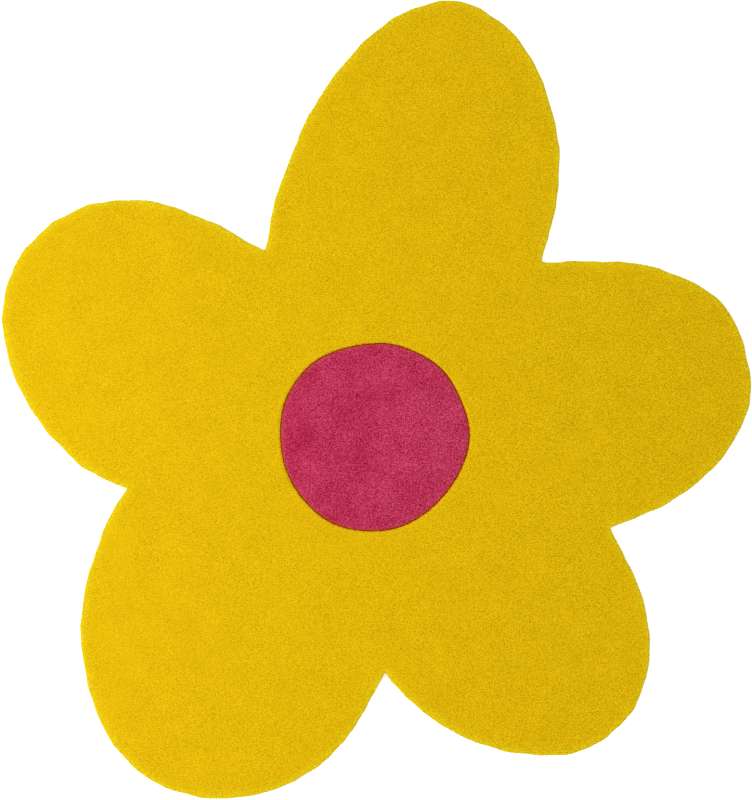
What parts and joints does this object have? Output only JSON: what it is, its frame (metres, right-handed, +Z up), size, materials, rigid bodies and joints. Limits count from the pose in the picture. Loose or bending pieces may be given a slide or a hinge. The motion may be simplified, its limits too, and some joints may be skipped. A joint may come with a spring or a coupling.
{
  "type": "wool rug",
  "caption": "Flat cut-pile wool rug in the outline of an uneven flower with rounded petals, its round centre set off by a fine carved groove.",
  "frame": {"origin": "under the middle of the rug's box, on the surface that it lies on", "axes": "+Z up through the pile, +Y to the tip of the top petal along the rug's longer side, +X to the rug's right seen from above"},
  "size_m": [1.5019, 1.6019, 0.015],
  "materials": {
    "yellow_wool": "matt cut wool pile, golden yellow",
    "pink_wool": "matt cut wool pile, raspberry pink"
  },
  "bodies": {
    "root": {"flower_field": "yellow_wool", "flower_centre": "pink_wool"}
  },
  "joints": []
}
